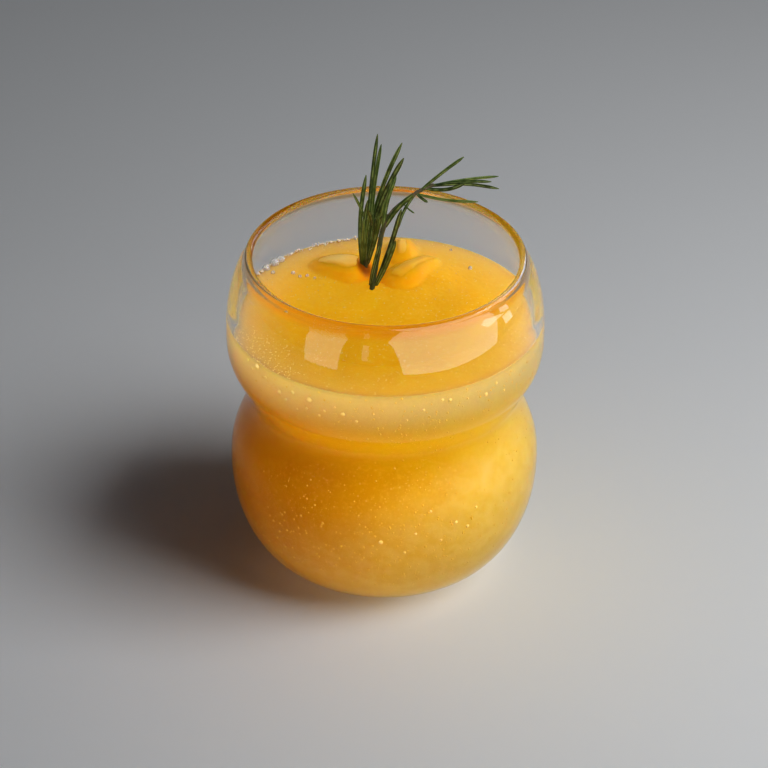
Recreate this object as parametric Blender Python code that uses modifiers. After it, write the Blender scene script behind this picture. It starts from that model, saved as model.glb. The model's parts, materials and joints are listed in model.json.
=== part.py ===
"""Mango slushy in a clear glass with two bulges, with mango pieces and a rosemary sprig.

Units are metres and +Z is up. The origin is the middle of the glass's foot, on the table,
and the front of the drink faces -Y.
"""

import math

import bmesh
import bpy
from mathutils import Matrix, Vector, noise

COLLECTION = "mango_slushy"

# Outer surface of the glass: radii and heights of its foot, bulges, waist and lip
FOOT_RADIUS = 0.0232
LOWER_RADIUS = 0.0420
LOWER_HEIGHT = 0.0300
WAIST_RADIUS = 0.0368
WAIST_HEIGHT = 0.0510
UPPER_RADIUS = 0.0428
UPPER_HEIGHT = 0.0700
LIP_RADIUS = 0.0365
LIP_HEIGHT = 0.0917
SHOULDER_INSET = 0.0080
SHOULDER_DROP = 0.0222
BELOW_WAIST_WARP = 1.35
ABOVE_WAIST_WARP = 1.48

# The stretches of the section, between the places where it turns
ZONES = [(LOWER_HEIGHT, WAIST_HEIGHT), (WAIST_HEIGHT, UPPER_HEIGHT), (UPPER_HEIGHT, LIP_HEIGHT)]

# Thickness of the glass
WALL = 0.0020
LIP_WALL = 0.0014
LIP_BEAD = 0.0011
THINNING_START = 0.0780
BASE = 0.0036
FLOOR_RADIUS = 0.0215

# Drink
LEVEL = 0.0744
GAP = 0.0003
HOLE_MARGIN = 0.0004
WELD = 0.00001
RIPPLE_HEIGHT = 0.0004
RIPPLE_SIZE = 0.0090
EDGE_FADE = 4.0
TOP_RINGS = 9

# Resolution of the turned shapes
SEGMENTS = 48
ZONE_STEPS = 6
FOOT_STEPS = 6
LIP_STEPS = 6

# The garnish is listed in millimetres
MM = 0.001

# Mango pieces: middle, half sizes, turn about Z and lean about the long side in degrees, and
# how much narrower the outer end and the top are
MANGO_PIECES = {
    "mango_left": ((-13.8, 22.2, 75.0), (7.6, 5.6, 4.2), 142, 8, 0.15, 0.45),
    "mango_right": ((8.0, 21.2, 74.9), (9.2, 4.0, 3.8), 51, -10, 0.45, 0.50),
    "mango_back": ((4.4, 30.8, 75.4), (6.4, 3.3, 4.2), 88, 0, 0.30, 0.40),
}
MANGO_SQUARENESS = 2.6
MANGO_DROOP = 0.30
CAGE_CUTS = 2
MANGO_LEVELS = 1

# Where the drink is heaped up round the garnish: middle, height and spread of each heap
HEAPS = [
    ((-13.8, 22.2), 1.6, 8.0),
    ((8.0, 21.2), 1.4, 8.0),
    ((4.4, 30.4), 0.9, 6.0),
]

# Stems of the sprig, from the end sunk in the drink to the growing tip
MAIN_STEM = [
    (-4.6, 11.3, 67.0),
    (-3.7, 12.3, 74.6),
    (-2.3, 13.4, 83.6),
    (-0.9, 14.2, 92.0),
    (1.3, 14.8, 96.7),
    (4.7, 15.5, 100.0),
    (8.4, 16.2, 102.6),
    (12.7, 17.0, 104.4),
]
SIDE_STEM = [
    (-5.9, 22.8, 69.0),
    (-5.6, 21.8, 76.7),
    (-5.1, 21.2, 83.6),
    (-4.1, 20.8, 88.5),
    (-2.3, 19.2, 92.3),
    (0.6, 14.8, 96.0),
]
STEM_RADIUS = 0.7 * MM
STEM_TIP_SHARE = 0.7
STEM_STEPS = 3
STEM_ROUNDNESS = 1

# Needles: share of the way up the stem where each is rooted, how far its root lies beside the
# stem's middle, its tip, its sideways bow and its width
NEEDLE_THINNESS = 0.6
NEEDLE_STALK = 0.7
NEEDLE_WIDENING = 1.2
NEEDLE_TIP_START = 0.8
NEEDLE_TIP_WIDTH = 0.35
NEEDLE_SIDES = 6
NEEDLE_TURN = math.radians(35)
GOLDEN_TURN = math.radians(137.5)
NEEDLE_RINGS = 5
MAIN_NEEDLES = [
    (0.16, 0.8, (4.0, 9.5, 101.0), 0.4, 1.6),
    (0.16, 1.0, (2.5, 9.0, 91.5), 0.3, 1.7),
    (0.16, -0.7, (-1.5, 10.5, 90.0), -0.2, 1.3),
    (0.43, 0.0, (2.5, 14.0, 108.5), -0.7, 1.6),
    (0.45, 0.4, (7.0, 13.0, 103.5), -0.7, 1.6),
    (0.84, 0.0, (3.0, 12.5, 93.0), 0.7, 1.1),
    (0.70, 0.0, (7.5, 11.0, 99.0), 0.3, 0.8),
    (0.84, 0.0, (11.0, 12.5, 101.5), 0.2, 0.9),
    (0.83, 0.0, (24.5, 13.0, 101.5), 0.7, 1.1),
    (0.88, 0.0, (20.5, 16.0, 113.5), -0.2, 1.2),
    (0.92, 0.0, (21.0, 12.5, 107.5), 1.2, 1.2),
    (0.98, 0.0, (30.0, 19.0, 106.0), -0.4, 1.3),
    (0.99, 0.0, (28.0, 16.0, 106.0), -0.5, 1.0),
    (0.97, 0.0, (30.0, 14.0, 105.0), -1.0, 1.1),
]
SIDE_NEEDLES = [
    (0.18, -0.9, (-5.5, 20.0, 105.5), -1.0, 1.4),
    (0.19, -0.6, (-5.0, 17.0, 99.5), -0.6, 1.3),
    (0.18, -0.2, (-4.5, 16.5, 96.5), -0.3, 1.2),
    (0.18, 0.4, (-3.5, 19.0, 94.5), 0.1, 1.3),
    (0.21, 0.8, (-1.5, 20.0, 99.0), 0.2, 1.3),
    (0.24, 1.0, (-0.5, 16.0, 100.0), 0.2, 1.4),
    (0.20, 0.6, (-2.0, 17.5, 95.0), 0.1, 1.3),
    (0.18, -0.9, (-6.0, 17.0, 93.5), -0.1, 1.2),
    (0.54, 0.0, (0.0, 19.5, 99.5), 0.2, 1.3),
    (0.50, -0.4, (-2.5, 20.0, 118.0), -0.3, 1.3),
    (0.55, 0.3, (-1.5, 18.0, 116.0), -0.5, 1.3),
    (0.55, 0.0, (4.0, 17.0, 117.0), -0.9, 1.7),
    (0.57, 0.4, (4.5, 15.0, 113.5), -0.8, 1.6),
    (0.50, 0.0, (-9.0, 18.0, 101.0), 0.6, 0.9),
    (0.60, 0.0, (-5.0, 13.5, 98.5), 0.5, 1.1),
]


def remove_everything():
    """Empty the scene before the model is made."""
    for thing in list(bpy.data.objects):
        bpy.data.objects.remove(thing, do_unlink=True)


def make_material(name, colour, roughness, transmission=0.0):
    """A Principled material with the colour and finish of one sub-part."""
    material = bpy.data.materials.new(name)
    material.use_nodes = True
    shader = material.node_tree.nodes["Principled BSDF"]
    shader.inputs["Base Color"].default_value = (*colour, 1.0)
    shader.inputs["Roughness"].default_value = roughness
    shader.inputs["Metallic"].default_value = 0.0
    shader.inputs["Transmission Weight"].default_value = transmission
    return material


def spread(start, end, steps):
    """Evenly spaced values from start to end, both included."""
    return [start + (end - start) * i / steps for i in range(steps + 1)]


def swing(share):
    """A half cosine that goes from 0 to 1."""
    return (1.0 - math.cos(math.pi * share)) / 2.0


def outer_radius(z):
    """Radius of the glass's outer surface at a height."""
    if z <= LOWER_HEIGHT:
        drop = (LOWER_HEIGHT - z) / LOWER_HEIGHT
        return FOOT_RADIUS + (LOWER_RADIUS - FOOT_RADIUS) * math.sqrt(max(0.0, 1.0 - drop**2))
    if z <= WAIST_HEIGHT:
        share = (z - LOWER_HEIGHT) / (WAIST_HEIGHT - LOWER_HEIGHT)
        return LOWER_RADIUS - (LOWER_RADIUS - WAIST_RADIUS) * swing(share**BELOW_WAIST_WARP)
    if z <= UPPER_HEIGHT:
        share = (UPPER_HEIGHT - z) / (UPPER_HEIGHT - WAIST_HEIGHT)
        return UPPER_RADIUS - (UPPER_RADIUS - WAIST_RADIUS) * swing(share**ABOVE_WAIST_WARP)
    rise = (z - UPPER_HEIGHT) / SHOULDER_DROP
    return UPPER_RADIUS - SHOULDER_INSET * (1.0 - math.sqrt(max(0.0, 1.0 - rise**2)))


def wall_at(z):
    """Thickness of the wall at a height: it thins out towards the lip."""
    share = max(0.0, (z - THINNING_START) / (LIP_HEIGHT - THINNING_START))
    return WALL + (LIP_WALL - WALL) * share


def inner_radius(z):
    """Radius of the glass's inner surface at a height above the floor's flat middle."""
    if z <= LOWER_HEIGHT:
        drop = (LOWER_HEIGHT - z) / (LOWER_HEIGHT - BASE)
        reach = LOWER_RADIUS - WALL - FLOOR_RADIUS
        return FLOOR_RADIUS + reach * math.sqrt(max(0.0, 1.0 - drop**2))
    return outer_radius(z) - wall_at(z)


def bowl_bottom(radius, flat_radius, bottom, top, steps):
    """Quarter ellipse from the widest point at top, down and in to the flat at bottom."""
    points = []
    for angle in spread(0.0, math.pi / 2.0, steps):
        r = flat_radius + (radius - flat_radius) * math.cos(angle)
        points.append((r, top - (top - bottom) * math.sin(angle)))
    return points


def glass_profile():
    """The glass's section, from the middle of its floor up the inside, over the lip and down."""
    inside = [(0.0, BASE)]
    floor = bowl_bottom(LOWER_RADIUS - WALL, FLOOR_RADIUS, BASE, LOWER_HEIGHT, FOOT_STEPS)
    inside += reversed(floor)
    for low, high in ZONES:
        inside += [(inner_radius(z), z) for z in spread(low, high, ZONE_STEPS)[1:]]
    inside.pop()
    lip = []
    for angle in spread(math.pi, 0.0, LIP_STEPS):
        lip.append((LIP_RADIUS + LIP_BEAD * math.cos(angle), LIP_HEIGHT + LIP_BEAD * math.sin(angle)))
    outside = []
    for low, high in reversed(ZONES):
        outside += [(outer_radius(z), z) for z in spread(high, low, ZONE_STEPS)[1:]]
    foot = bowl_bottom(LOWER_RADIUS, FOOT_RADIUS, 0.0, LOWER_HEIGHT, FOOT_STEPS)
    return inside + lip + outside + foot[1:] + [(0.0, 0.0)]


def drink_profile():
    """The drink's section, from the middle of its top out to the wall and down to the floor."""
    rim = inner_radius(LEVEL) - GAP
    top = [(r, LEVEL) for r in spread(0.0, rim, TOP_RINGS)]
    side = []
    for high, low in ((LEVEL, WAIST_HEIGHT), (WAIST_HEIGHT, LOWER_HEIGHT)):
        side += [(inner_radius(z) - GAP, z) for z in spread(high, low, ZONE_STEPS)[1:]]
    bowl_radius = LOWER_RADIUS - WALL - GAP
    floor = bowl_bottom(bowl_radius, FLOOR_RADIUS - GAP, BASE + GAP, LOWER_HEIGHT, FOOT_STEPS)
    return top + side + floor[1:] + [(0.0, BASE + GAP)]


def add_object(name, mesh, collection, material):
    """A named object in a collection, with one material and smooth shading."""
    thing = bpy.data.objects.new(name, mesh)
    collection.objects.link(thing)
    mesh.materials.clear()
    mesh.materials.append(material)
    return thing


def shade_round(thing, angle):
    """Smooth shading with edges left sharp where the surface turns by more than angle."""
    thing.data.shade_smooth()
    thing.data.set_sharp_from_angle(angle=math.radians(angle))


def turned_object(name, profile, collection, material):
    """A profile turned about Z into a closed mesh, with its modifier applied."""
    mesh = bpy.data.meshes.new(name)
    edges = [(i, i + 1) for i in range(len(profile) - 1)]
    mesh.from_pydata([(r, 0.0, z) for r, z in profile], edges, [])
    thing = add_object(name, mesh, collection, material)
    screw = thing.modifiers.new("turn", "SCREW")
    screw.axis = "Z"
    screw.steps = SEGMENTS
    screw.render_steps = SEGMENTS
    screw.use_merge_vertices = True
    screw.merge_threshold = WELD
    freeze(thing)
    return thing


def freeze(thing):
    """Replace an object's mesh by what its modifiers make of it."""
    bpy.context.view_layer.update()
    evaluated = thing.evaluated_get(bpy.context.evaluated_depsgraph_get())
    mesh = bpy.data.meshes.new_from_object(evaluated)
    thing.modifiers.clear()
    thing.data = mesh


def surface_rise(x, y):
    """Height of the drink's uneven top above its level, which fades to nothing at the wall."""
    rise = noise.noise(Vector((x, y, 0.0)) / RIPPLE_SIZE) * RIPPLE_HEIGHT
    for middle, height, breadth in HEAPS:
        away = math.hypot(x - middle[0] * MM, y - middle[1] * MM) / (breadth * MM)
        rise += height * MM * math.exp(-(away**2))
    edge = (1.0 - math.hypot(x, y) / inner_radius(LEVEL)) * EDGE_FADE
    return rise * max(0.0, min(1.0, edge))


def make_glass(collection):
    """The clear glass with its two bulges and round lip."""
    clear = make_material("clear_glass", (0.95, 0.97, 0.96), 0.02, transmission=1.0)
    glass = turned_object("glass", glass_profile(), collection, clear)
    shade_round(glass, 40)
    return glass


def make_drink(collection):
    """The slushy up to its level, with a low mound round the garnish."""
    mango_yellow = make_material("slush", (0.80, 0.38, 0.04), 0.35)
    drink = turned_object("slush", drink_profile(), collection, mango_yellow)
    rim = inner_radius(LEVEL) - GAP
    for vertex in drink.data.vertices:
        x, y, z = vertex.co
        if z > LEVEL - GAP / 2.0 and math.hypot(x, y) < rim - GAP:
            vertex.co.z = z + surface_rise(x, y)
    shade_round(drink, 50)
    return drink


def in_metres(point):
    """A point that is listed in millimetres."""
    return Vector(point) * MM


def mango_cage(name, half_size, slim_end, slim_top):
    """A rounded block drawn out to a wedge: its outer end and top are slimmer, its ends droop."""
    body = bmesh.new()
    bmesh.ops.create_cube(body, size=2.0)
    bmesh.ops.subdivide_edges(body, edges=body.edges, cuts=CAGE_CUTS, use_grid_fill=True)
    for vertex in body.verts:
        away = sum(abs(value) ** MANGO_SQUARENESS for value in vertex.co)
        x, y, z = vertex.co / away ** (1.0 / MANGO_SQUARENESS)
        end = 1.0 - slim_end * (x + 1.0) / 2.0
        top = 1.0 - slim_top * (z + 1.0) / 2.0
        vertex.co.x = x * half_size[0]
        vertex.co.y = y * half_size[1] * end * top
        vertex.co.z = (z * end - MANGO_DROOP * x * x) * half_size[2]
    mesh = bpy.data.meshes.new(name)
    body.to_mesh(mesh)
    body.free()
    return mesh


def make_mango(name, grown, collection, material):
    """One soft piece of mango, grown outward by a margin where it serves as a cutter."""
    middle, half_size, turn, lean, slim_end, slim_top = MANGO_PIECES[name]
    size = [half * MM + grown for half in half_size]
    thing = add_object(name, mango_cage(name, size, slim_end, slim_top), collection, material)
    thing.location = in_metres(middle)
    thing.rotation_euler = (math.radians(lean), 0.0, math.radians(turn))
    soft = thing.modifiers.new("soft", "SUBSURF")
    soft.levels = MANGO_LEVELS
    soft.render_levels = MANGO_LEVELS
    freeze(thing)
    thing.data.shade_smooth()
    return thing


def smooth_route(points, steps):
    """A smooth curve through the points, with a number of steps between each two."""
    spots = [in_metres(point) for point in points]
    before = spots[0] * 2.0 - spots[1]
    after = spots[-1] * 2.0 - spots[-2]
    knots = [before] + spots + [after]
    route = []
    for a, b, c, d in zip(knots, knots[1:], knots[2:], knots[3:]):
        for i in range(steps):
            t = i / steps
            start = 2.0 * b + (c - a) * t
            bend = (2.0 * a - 5.0 * b + 4.0 * c - d) * t**2
            twist = (3.0 * b - a - 3.0 * c + d) * t**3
            route.append((start + bend + twist) / 2.0)
    route.append(knots[-2])
    return route


def place_on(route, share):
    """The point at a share of the way along the route."""
    spot = share * (len(route) - 1)
    i = min(int(spot), len(route) - 2)
    return route[i].lerp(route[i + 1], spot - i)


def make_stem(name, points, grown, collection, material):
    """A tube along the stem that tapers to its tip, grown by a margin where it is a cutter."""
    route = smooth_route(points, STEM_STEPS)
    route[0] += (route[0] - route[1]).normalized() * grown
    curve = bpy.data.curves.new(name, "CURVE")
    curve.dimensions = "3D"
    curve.bevel_depth = STEM_RADIUS
    curve.bevel_resolution = STEM_ROUNDNESS
    curve.use_fill_caps = True
    spline = curve.splines.new("POLY")
    spline.points.add(len(route) - 1)
    for i, spot in enumerate(route):
        spline.points[i].co = (*spot, 1.0)
        taper = 1.0 + (STEM_TIP_SHARE - 1.0) * i / (len(route) - 1)
        spline.points[i].radius = taper + grown / STEM_RADIUS
    holder = bpy.data.objects.new(name + "_curve", curve)
    collection.objects.link(holder)
    bpy.context.view_layer.update()
    evaluated = holder.evaluated_get(bpy.context.evaluated_depsgraph_get())
    mesh = bpy.data.meshes.new_from_object(evaluated)
    bpy.data.objects.remove(holder, do_unlink=True)
    body = bmesh.new()
    body.from_mesh(mesh)
    bmesh.ops.remove_doubles(body, verts=body.verts, dist=WELD)
    body.to_mesh(mesh)
    body.free()
    return add_object(name, mesh, collection, material)


def needle_breadth(share):
    """Share of the full width at a share of the needle's length: nearly even, with a blunt tip."""
    stalk = min(1.0, NEEDLE_STALK + NEEDLE_WIDENING * share)
    tip = max(0.0, (share - NEEDLE_TIP_START) / (1.0 - NEEDLE_TIP_START))
    return stalk * (1.0 - (1.0 - NEEDLE_TIP_WIDTH) * tip**2)


def make_needle(root, tip, bow, width, turn, collection, material):
    """One leaf: a slim flattened rod lofted from six-sided rings, denser towards its tip."""
    span = tip - root
    ahead = span.normalized()
    sideways = Vector((0.0, 1.0, 0.0)).cross(ahead).normalized()
    broad = Matrix.Rotation(turn, 3, ahead) @ sideways
    flat = ahead.cross(broad)
    body = bmesh.new()
    rings = []
    for part in spread(0.0, 1.0, NEEDLE_RINGS):
        share = math.sin(math.pi * part / 2.0)
        middle = root + span * share + sideways * bow * math.sin(math.pi * share)
        half = width * needle_breadth(share) / 2.0
        ring = []
        for corner in range(NEEDLE_SIDES):
            angle = 2.0 * math.pi * corner / NEEDLE_SIDES
            across = broad * half * math.cos(angle)
            up = flat * half * NEEDLE_THINNESS * math.sin(angle)
            ring.append(body.verts.new(middle + across + up))
        rings.append(ring)
    for low, high in zip(rings, rings[1:]):
        for corner in range(NEEDLE_SIDES):
            after = (corner + 1) % NEEDLE_SIDES
            body.faces.new((low[corner], low[after], high[after], high[corner]))
    body.faces.new(list(reversed(rings[0])))
    body.faces.new(rings[-1])
    bmesh.ops.recalc_face_normals(body, faces=body.faces)
    mesh = bpy.data.meshes.new("needle")
    body.to_mesh(mesh)
    body.free()
    return add_object("needle", mesh, collection, material)


def make_rosemary(collection):
    """The rosemary sprig: two stems and all their needles joined into one solid."""
    green = make_material("rosemary_green", (0.07, 0.10, 0.025), 0.5)
    sprig = make_stem("rosemary", MAIN_STEM, 0.0, collection, green)
    pieces = bpy.data.collections.new("rosemary_pieces")
    bpy.context.scene.collection.children.link(pieces)
    make_stem("side_stem", SIDE_STEM, 0.0, pieces, green)
    for stem, needles in ((MAIN_STEM, MAIN_NEEDLES), (SIDE_STEM, SIDE_NEEDLES)):
        route = smooth_route(stem, STEM_STEPS)
        for number, (share, shift, tip, bow, width) in enumerate(needles):
            root = place_on(route, share) + Vector((shift * MM, 0.0, 0.0))
            turn = NEEDLE_TURN * math.sin(number * GOLDEN_TURN)
            make_needle(root, in_metres(tip), bow * MM, width * MM, turn, pieces, green)
    union = sprig.modifiers.new("join", "BOOLEAN")
    union.operation = "UNION"
    union.operand_type = "COLLECTION"
    union.collection = pieces
    union.solver = "EXACT"
    freeze(sprig)
    for piece in list(pieces.objects):
        bpy.data.objects.remove(piece, do_unlink=True)
    bpy.data.collections.remove(pieces)
    shade_round(sprig, 40)
    return sprig


def cut(thing, cutters):
    """Take the cutters, kept as wire guides, out of a thing."""
    for cutter in cutters:
        cutter.hide_render = True
        cutter.display_type = "WIRE"
        hole = thing.modifiers.new("hole", "BOOLEAN")
        hole.operation = "DIFFERENCE"
        hole.object = cutter
        hole.solver = "EXACT"


def main():
    remove_everything()
    parts = bpy.data.collections.new(COLLECTION)
    cutters = bpy.data.collections.new("cutters")
    bpy.context.scene.collection.children.link(parts)
    bpy.context.scene.collection.children.link(cutters)
    make_glass(parts)
    drink = make_drink(parts)
    flesh = make_material("mango_flesh", (0.90, 0.45, 0.07), 0.4)
    holes = []
    for name in MANGO_PIECES:
        make_mango(name, 0.0, parts, flesh)
        hole = make_mango(name, HOLE_MARGIN, cutters, flesh)
        hole.name = name + "_hole"
        holes.append(hole)
    for name, stem in (("main_stem_hole", MAIN_STEM), ("side_stem_hole", SIDE_STEM)):
        holes.append(make_stem(name, stem, HOLE_MARGIN, cutters, flesh))
    cut(drink, holes)
    make_rosemary(parts)


main()
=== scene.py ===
"""Looks of the mango slushy: clear glass, frozen drink, soft mango and a rosemary sprig.

Units are metres unless a comment says mm, and +Z is up. The front of the drink faces -Y, and +X is
on its right. Turns are counted from the front towards +X.
"""

import json
import math
import random

import bpy
from mathutils import Matrix, Vector, noise
from mathutils.bvhtree import BVHTree

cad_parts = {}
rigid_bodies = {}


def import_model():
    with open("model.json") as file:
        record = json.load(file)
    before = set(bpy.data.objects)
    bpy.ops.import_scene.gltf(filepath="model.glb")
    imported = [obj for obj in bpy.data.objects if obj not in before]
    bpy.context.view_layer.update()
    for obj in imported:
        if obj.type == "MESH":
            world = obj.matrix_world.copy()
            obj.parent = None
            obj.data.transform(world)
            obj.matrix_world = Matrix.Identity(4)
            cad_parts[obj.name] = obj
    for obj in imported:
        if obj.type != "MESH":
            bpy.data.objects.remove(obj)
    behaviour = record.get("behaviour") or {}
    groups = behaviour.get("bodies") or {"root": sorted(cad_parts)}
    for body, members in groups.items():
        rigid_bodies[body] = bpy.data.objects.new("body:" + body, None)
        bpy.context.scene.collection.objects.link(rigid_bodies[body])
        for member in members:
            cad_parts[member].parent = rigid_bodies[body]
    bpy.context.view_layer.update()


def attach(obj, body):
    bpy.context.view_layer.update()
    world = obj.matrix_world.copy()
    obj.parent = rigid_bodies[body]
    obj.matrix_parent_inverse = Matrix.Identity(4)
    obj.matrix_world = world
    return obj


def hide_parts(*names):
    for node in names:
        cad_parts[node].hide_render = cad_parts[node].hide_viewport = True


MM = 0.001

# Outer surface of the glass: radii and heights of its foot, bulges, waist and lip
FOOT_RADIUS = 0.0232
LOWER_RADIUS = 0.0420
LOWER_HEIGHT = 0.0300
WAIST_RADIUS = 0.0368
WAIST_HEIGHT = 0.0510
UPPER_RADIUS = 0.0428
UPPER_HEIGHT = 0.0700
LIP_RADIUS = 0.0365
LIP_HEIGHT = 0.0917
SHOULDER_INSET = 0.0080
SHOULDER_DROP = 0.0222
BELOW_WAIST_WARP = 1.35
ABOVE_WAIST_WARP = 1.48
ZONES = [(LOWER_HEIGHT, WAIST_HEIGHT), (WAIST_HEIGHT, UPPER_HEIGHT), (UPPER_HEIGHT, LIP_HEIGHT)]

# Thickness of the glass
WALL = 0.0020
LIP_WALL = 0.0014
LIP_BEAD = 0.0011
THINNING_START = 0.0780
BASE = 0.0036
FLOOR_RADIUS = 0.0215

# Resolution of the turned shapes, and the angle from which an edge is shaded sharp
SEGMENTS = 256
ZONE_STEPS = 18
FOOT_STEPS = 24
LIP_STEPS = 14
SHARP_ANGLE = math.radians(60)

# Drink: its level, how far it reaches into the wall, and how its top's edge is rounded
LEVEL = 0.0744
REACH = 0.0003
TOP_RINGS = 110
EDGE_STEP = 0.00015
EDGE_REACH = 0.00004

# Relief of the drink's top: ripples, grain, how soon they fade at the wall, and the heaps at the
# mango pieces and the hollow at the sprig, with middle, height and breadth in mm
RIPPLE_HEIGHT = 0.0004
RIPPLE_SIZE = 0.0090
GRAIN_HEIGHT = 0.00005
GRAIN_SIZE = 0.0011
FLATTENING = 4.0
HEAPS = [
    ((-12.0, 25.0), 1.4, 8.0),
    ((5.6, 25.0), 1.6, 8.0),
    ((3.6, 31.0), 0.6, 5.0),
    ((-5.4, 20.4), -1.8, 3.0),
]

# Skirt of the drink about each mango piece: how far it reaches, in how many rings it is sampled,
# the roundness of its foot, and how far below the mango's face it starts
LAP_REACH = 5.0 * MM
LAP_RINGS = 6
LAP_ROUNDING = 2.4 * MM
LAP_STEP = 0.2 * MM

# Where the drink's colour changes, with middles and half sizes in mm: on its side the pale band,
# partly painted light, the painted light on the shaded waist, the haze, partly painted light, and the
# painted shade at its thin edge; on its top the ring and the spots of painted shade
# Pale band below the level: partly the drink's paler top layer, partly painted light that enters
# through the top
BAND_SHARE = 0.8
BAND_BOTTOM = 0.0600
BAND_BREADTH = 0.0105
# Painted light that lifts the shaded, downward-facing waist: share, middle and half size
WAIST_LIGHT_SHARE = 0.9
WAIST_LIGHT_MIDDLE = 0.0570
WAIST_LIGHT_BREADTH = 0.0068
# Pale haze on the lower part: partly the drink's cloudy mottling, partly painted light where it
# reaches higher at the lit right
HAZE_SHARE = 0.85
HAZE_TOP = 0.047
HAZE_TILT = 0.50
HAZE_FADE = 0.024
# Painted shade along the thin edge at the level, where the drink's top meets the wall
EDGE_SHADE_SHARE = 0.65
EDGE_FADE = 0.0009
RING_SHARE = 0.95
RING_START = 0.026
RING_BREADTH = 0.015
RING_MIDDLE = 0.55
RING_TILT = 0.6
RING_TILT_REACH = 0.045
# Spots of painted shade round the sprig's foot: middle and half sizes in mm, and strength
SHADE_SPOTS = [
    ((-5.9, 21.6), (3.3, 5.4), 0.95),
    ((0.0, 18.5), (6.5, 6.0), 0.5),
]
# Painted shade on the drink's skirts at the mango pieces, growing as the drink laps higher
LAP_SHADING = 3.5 * MM
LAP_SHADE_MOST = 0.33

# Drink's side and top: colours of darker and lighter patches, how far light goes in, roughness and
# index of refraction; the top's colours are lighter than the side's as painted light. Then the
# painted shade and light that multiply the colours along each axis: darker at the side's left, less
# red at its right, darker at the top's front and right and lighter at its back
SLUSH_LOOKS = {
    "slush_side": ((0.70, 0.37, 0.002), (0.74, 0.41, 0.004), 0.013, 0.15, 1.10),
    "slush_top": ((0.895, 0.448, 0.008), (0.91, 0.462, 0.012), 0.005, 0.25, 1.24),
}
PAINTED_SHADES = {
    "slush_side": [
        ("X", [(0.0, (0.77, 0.55, 0.42)), (0.5, (0.95, 0.91, 0.86)), (1.0, (0.85, 0.93, 1.0))]),
    ],
    "slush_top": [
        ("X", [(0.0, (1.0, 0.98, 1.0)), (0.5, (1.0, 1.0, 1.0)), (1.0, (0.82, 0.84, 0.84))]),
        ("Y", [(0.0, (0.83, 0.83, 0.75)), (0.5, (1.04, 1.04, 1.2)), (1.0, (1.08, 1.09, 1.3))]),
    ],
}

# Drink's other colours. The waist's painted light and the pale band's colours go from left to right:
# the waist redder at the shaded left, the band lighter at the left as painted light and darker at the
# right as painted shade.
FINE_COLOUR = (0.95, 0.58, 0.06)
GRAIN_COLOUR = (0.97, 0.68, 0.20)
HAZE_AND_LIGHT_COLOUR = (0.86, 0.57, 0.13)
WAIST_LIGHT_COLOURS = [(0.0, (1.0, 0.47, 0.003)), (0.5, (1.0, 0.60, 0.005)), (1.0, (0.90, 0.62, 0.02))]
PALE_BAND_AND_LIGHT_COLOURS = ((0.99, 0.73, 0.25), (0.58, 0.465, 0.19))
RING_COLOUR = (0.58, 0.365, 0.125)
EDGE_SHADE_COLOUR = (0.36, 0.18, 0.07)
# Painted shade: deeper orange round the sprig and the mango pieces' feet, a dark painted shadow in
# the hollow at the sprig, and the gleam dimmed there
CREVICE_SHADE_COLOUR = (0.96, 0.29, 0.002)
HOLLOW_SHADOW_COLOUR = (0.18, 0.040, 0.002)
HOLLOW_SHADED_GLEAM = (0.1, 0.04, 0.0)
WHITE = (1.0, 1.0, 1.0)

# Colours of the grains, bubbles and foam
ICE_COLOUR = (0.87, 0.53, 0.07)
TOP_ICE_COLOUR = (0.93, 0.66, 0.24)
BUBBLE_COLOUR = (0.95, 0.66, 0.21)
FOAM_COLOUR = (0.80, 0.66, 0.52)
SKIN_COLOUR = (1.0, 0.97, 0.90)

# Floor: half its side and its colour
FLOOR_HALF = 4.0
FLOOR_COLOUR = (0.90, 0.925, 0.955)

# Mist on the cold part of the glass: height and roughness
MIST = [(0.048, 0.17), (0.062, 0.11), (LEVEL - 0.003, 0.11), (LEVEL + 0.0005, 0.0)]

# Colour of the glass, the painted orange glow of the drink seen in its lip, and the heights where the
# lip's colour starts and is full
GLASS_COLOUR = (0.985, 0.99, 0.985)
LIP_GLOW_COLOUR = (0.98, 0.75, 0.46)
LIP_ENDS = (LIP_HEIGHT - 0.003, LIP_HEIGHT - 0.001)

# Painted reflection on the glass: the warm colour of its gleams, their share on its inner face, and
# the heights, and at the lip the places along X, between which they come up from nothing; below,
# inside and at the lip's left the gleams are painted out
GLEAM = (1.0, 0.86, 0.62)
INNER_GLEAM = 0.1
LOW_GLEAM_ENDS = (0.050, 0.058)
LEFT_LIP_ENDS = (-0.018, 0.008)

# Mango pieces: middle and half sizes in mm, turn about Z and lean in degrees, how much narrower the
# outer end and the top are, and how strong the painted light on the ridge is
MANGO_PIECES = {
    "mango_left": ((-13.2, 23.4, 74.9), (7.2, 6.6, 4.0), 160, 2, 0.55, 0.25, 1.0),
    "mango_right": ((7.4, 21.8, 74.7), (9.2, 5.2, 3.8), 51, -12, 0.45, 0.35, 0.3),
    "mango_back": ((4.4, 30.8, 74.9), (6.4, 3.3, 4.2), 88, 0, 0.30, 0.40, 0.5),
}
MANGO_SQUARENESS = 3.2
MANGO_DROOP = 0.30
CAGE_STEPS = 24
MANGO_RELIEF = 0.25 * MM
MANGO_RELIEF_SIZE = 3.0 * MM
MANGO_COLOURS = [(0.35, (0.98, 0.43, 0.010)), (0.7, (0.99, 0.48, 0.020))]
# Painted light on the top and ridge of each piece
RIDGE_LIGHT_COLOUR = (1.0, 0.60, 0.17)

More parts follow.
